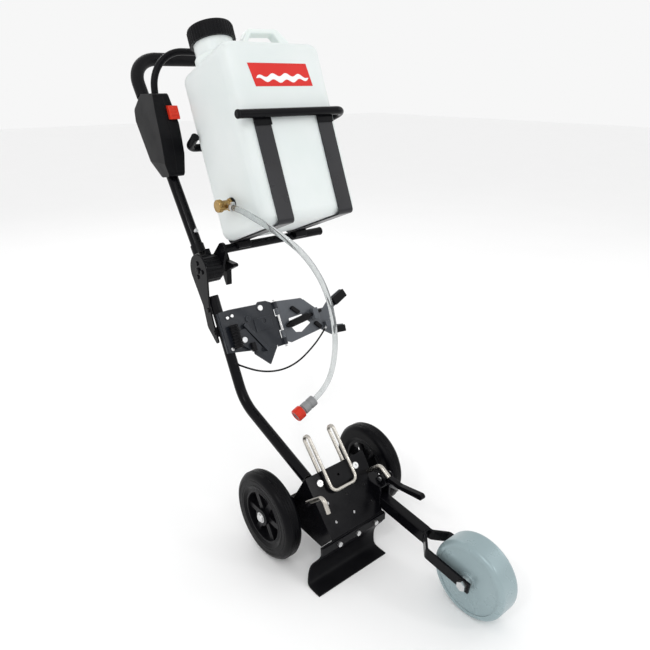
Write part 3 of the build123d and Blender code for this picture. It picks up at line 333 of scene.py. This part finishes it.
def water_hose():
    hose = spline_curve("hose", HOSE_ROUTE, HOSE_DIAMETER / 2, "clear_hose")
    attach(hose, "tank_holder")
    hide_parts("water_hose")


water_hose()


# ---------------------------------------------------------------- throttle cable

CABLE_ROUTE = [
    (-0.135, 0.136, 0.35672), (-0.113, 0.12011, 0.34438), (-0.085, 0.10778, 0.33254),
    (-0.051, 0.09986, 0.32525), (-0.015, 0.09719, 0.32431), (0.027, 0.10064, 0.33153),
    (0.073, 0.11109, 0.3487), (0.107, 0.12157, 0.36364), (0.133, 0.13161, 0.37879)]
CABLE_R = 0.0022
# Bush round the cable where it leaves the column: (along, radius)
BUSH_PROFILE = [(-0.006, 0.0030), (-0.005, 0.0042), (0.001, 0.0042), (0.005, 0.0028)]
BUSH_STEPS = 24


def throttle_cable():
    """Cable curving between the column and the hinged plate."""
    line = spline_curve("cable_line", CABLE_ROUTE, CABLE_R, "black_rubber")
    bpy.context.view_layer.update()
    mesh = bpy.data.meshes.new_from_object(line.evaluated_get(bpy.context.evaluated_depsgraph_get()))
    bpy.data.objects.remove(line)
    cable = bpy.data.objects.new("cable", mesh)
    bpy.context.scene.collection.objects.link(cable)
    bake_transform(cable)
    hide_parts("throttle_cable")
    out = Vector(CABLE_ROUTE[1]) - Vector(CABLE_ROUTE[0])
    lathe("cable_bush", BUSH_PROFILE, CABLE_ROUTE[0], out, "black_rubber", "frame")


throttle_cable()


# ---------------------------------------------------------------- tank sticker

TANK_AT = Vector((0.027, 0.1119, 0.9135))
TANK_LEAN = math.radians(21.7)
TANK_FRONT = 0.0038
SHEET = 0.0002
STICKER_OUTLINE = [(-0.084, 0.109), (0.070, 0.109), (0.076, 0.060), (-0.076, 0.060)]
# White wave: its start, length and height in the tank's own x and z, and its width from the middle
WAVE_START, WAVE_LENGTH, WAVE_Z = -0.070, 0.138, 0.0775
WAVE_HEIGHT, WAVE_HALF_WIDTH, WAVE_TIP = 0.0035, 0.0065, 0.0005
WAVE_STEPS, WAVE_PERIOD = 40, 10


def tank_frame():
    """The leaning tank's own place: x to the left, y to the rear, z up its side."""
    return Matrix.Translation(TANK_AT) @ Matrix.Rotation(-TANK_LEAN, 4, "X")


def sticker():
    """Plain red panel with a white wave along its lower half, just proud of the tank's front."""
    panel("sticker_panel", STICKER_OUTLINE, 0.0, "label_red")
    upper, lower = [], []
    for step in range(WAVE_STEPS + 1):
        x = WAVE_START + WAVE_LENGTH * step / WAVE_STEPS
        wave = WAVE_HEIGHT * math.sin(2 * math.pi * step / WAVE_PERIOD)
        half = WAVE_HALF_WIDTH * math.sin(math.pi * step / WAVE_STEPS) ** 0.5 + WAVE_TIP
        upper.append((x, WAVE_Z + wave + half))
        lower.append((x, WAVE_Z + wave - half))
    panel("sticker_wave", upper + lower[::-1], SHEET, "label_white")


def panel(name, outline, lift, finish):
    """Thin flat sheet on the tank's front; outline is in the tank's own x and z."""
    place = tank_frame()
    points = []
    for depth in (lift, lift + SHEET):
        for x, z in outline:
            points.append(place @ Vector((x, TANK_FRONT - depth, z)))
    count = len(outline)
    faces = [tuple(range(count)), tuple(reversed(range(count, 2 * count)))]
    for index in range(count):
        after = (index + 1) % count
        faces.append((index, index + count, after + count, after))
    piece = new_mesh(name, points, faces, finish, "tank_holder", False)
    fix = bmesh.new()
    fix.from_mesh(piece.data)
    bmesh.ops.recalc_face_normals(fix, faces=fix.faces)
    fix.to_mesh(piece.data)
    fix.free()


sticker()


# ---------------------------------------------------------------- stage, light, camera

FLOOR_REACH = 14.0
WORLD_STRENGTH = 0.93
LIGHT_AIM = (0.0, 0.0, 0.5)
# Name, place, diameter and power of each lamp: three broad ones and two small ones for highlights
LAMPS = [
    ("key", (-1.6, -2.2, 3.0), 2.0, 12.0),
    ("glint_right", (-2.3, -1.0, 2.5), 0.3, 9.0),
    ("glint_left", (1.3, -2.6, 2.1), 0.3, 7.0),
    ("side", (2.6, -1.2, 1.8), 1.4, 7.0),
    ("back", (0.6, 2.6, 2.4), 1.4, 12.0)]
CAMERA_AT = (-0.8151, -0.9934, 0.9792)
CAMERA_TURN, CAMERA_RISE = math.radians(-40.135), math.radians(21.868)
CAMERA_LENS, CAMERA_SENSOR = 33.75, 36.0


def stage():
    """Plain pale floor."""
    floor_shader = Shader("floor")
    floor_shader.link(
        floor_shader.mix(floor_shader.spread(floor_shader.noise(3.0), 0.0, 1.0),
                         (0.945, 0.945, 0.945), (0.955, 0.955, 0.955)),
        floor_shader.surface.inputs["Base Color"])
    floor_shader.set(Roughness=0.7)
    reach = FLOOR_REACH
    corners = [(-reach, -reach, 0), (reach, -reach, 0), (reach, reach, 0), (-reach, reach, 0)]
    floor = bpy.data.meshes.new("floor")
    floor.from_pydata(corners, [], [(0, 1, 2, 3)])
    floor.materials.append(floor_shader.material)
    ground = bpy.data.objects.new("floor", floor)
    bpy.context.scene.collection.objects.link(ground)


def soft_light(name, at, size, power):
    data = bpy.data.lights.new(name, "AREA")
    data.shape = "DISK"
    data.size = size
    data.energy = power
    lamp = bpy.data.objects.new(name, data)
    lamp.location = at
    lamp.rotation_mode = "QUATERNION"
    lamp.rotation_quaternion = (Vector(LIGHT_AIM) - Vector(at)).to_track_quat("-Z", "Y")
    bpy.context.scene.collection.objects.link(lamp)


def lights():
    """White surroundings and the lamps."""
    world = bpy.data.worlds.new("studio")
    world.use_nodes = True
    background = world.node_tree.nodes["Background"]
    background.inputs["Color"].default_value = (1.0, 1.0, 1.0, 1.0)
    background.inputs["Strength"].default_value = WORLD_STRENGTH
    bpy.context.scene.world = world
    for lamp in LAMPS:
        soft_light(*lamp)


def camera():
    """Camera at the front right corner, a little above the tank."""
    turn, rise = CAMERA_TURN, CAMERA_RISE
    back = Vector((
        math.sin(turn) * math.cos(rise), -math.cos(turn) * math.cos(rise), math.sin(rise)))
    data = bpy.data.cameras.new("camera")
    data.lens = CAMERA_LENS
    data.sensor_width = CAMERA_SENSOR
    eye = bpy.data.objects.new("camera", data)
    eye.location = CAMERA_AT
    eye.rotation_mode = "QUATERNION"
    eye.rotation_quaternion = (-back).to_track_quat("-Z", "Y")
    bpy.context.scene.collection.objects.link(eye)
    bpy.context.scene.camera = eye


stage()
lights()
camera()
bpy.context.scene.view_settings.view_transform = "Standard"
